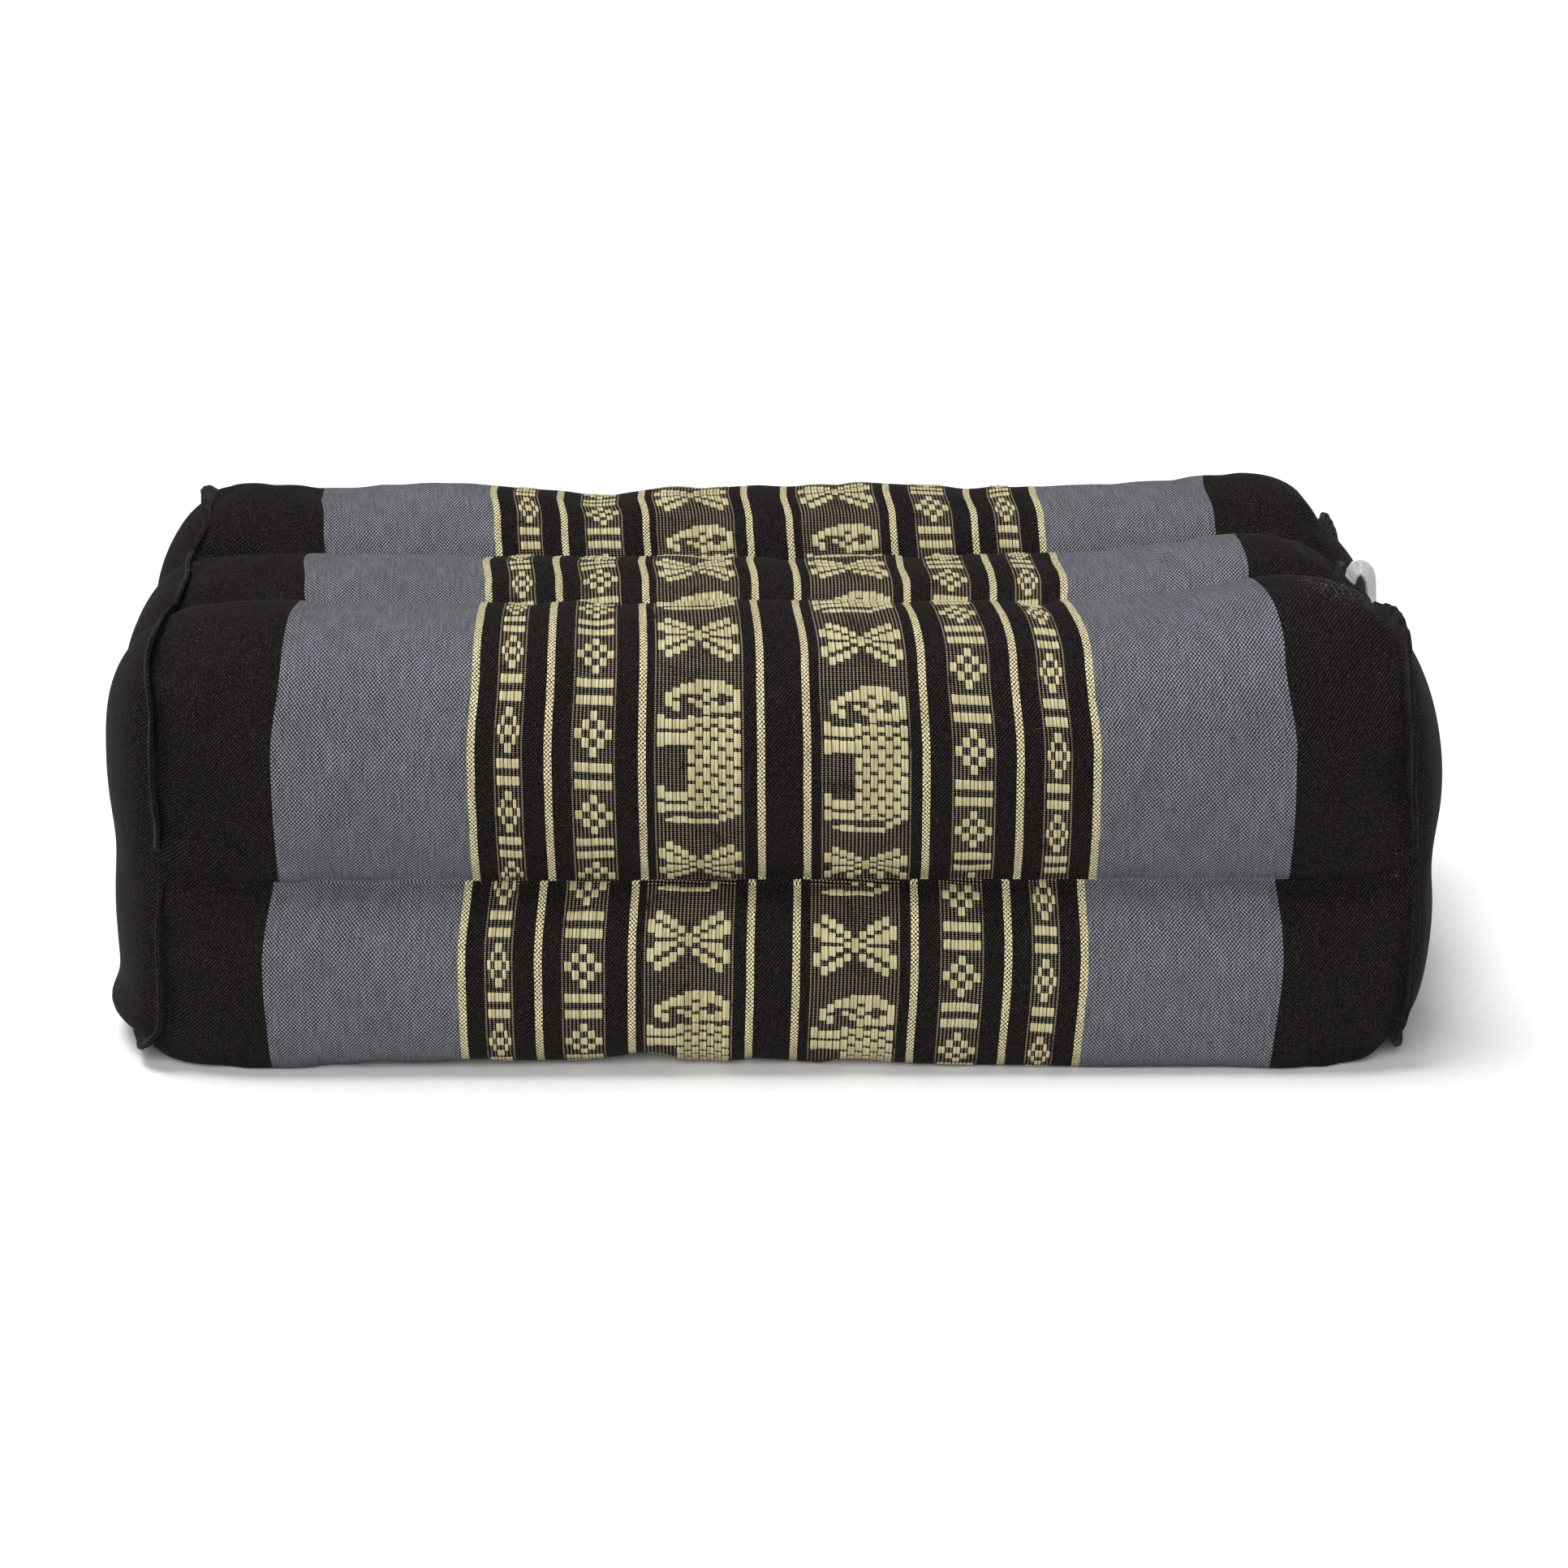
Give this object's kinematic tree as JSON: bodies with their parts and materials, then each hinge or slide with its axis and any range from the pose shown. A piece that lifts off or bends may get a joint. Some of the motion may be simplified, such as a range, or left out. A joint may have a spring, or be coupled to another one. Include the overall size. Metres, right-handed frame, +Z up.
{
  "type": "yoga cushion",
  "caption": "Oblong firm block cushion of stuffed channels sewn side by side in two layers, to sit or kneel on or to prop the body in yoga.",
  "frame": {"origin": "on the ground under the middle of the cushion", "axes": "+X along the channels, +Z up, -Y towards the front; the cushion rests at Z = 0"},
  "size_m": [0.364, 0.1785, 0.1311],
  "materials": {
    "cover": "plain cotton weave: black ends, blue-grey bands, black middle with cream stripes and float motifs",
    "seam": "black cotton, folded seam allowance",
    "tag": "white woven tape, blank"
  },
  "bodies": {
    "root": {"cushion_body": "cover", "end_seam_left_upper": "seam", "end_seam_left_lower": "seam", "end_seam_right_upper": "seam", "end_seam_right_lower": "seam", "care_tag": "tag"}
  },
  "joints": []
}
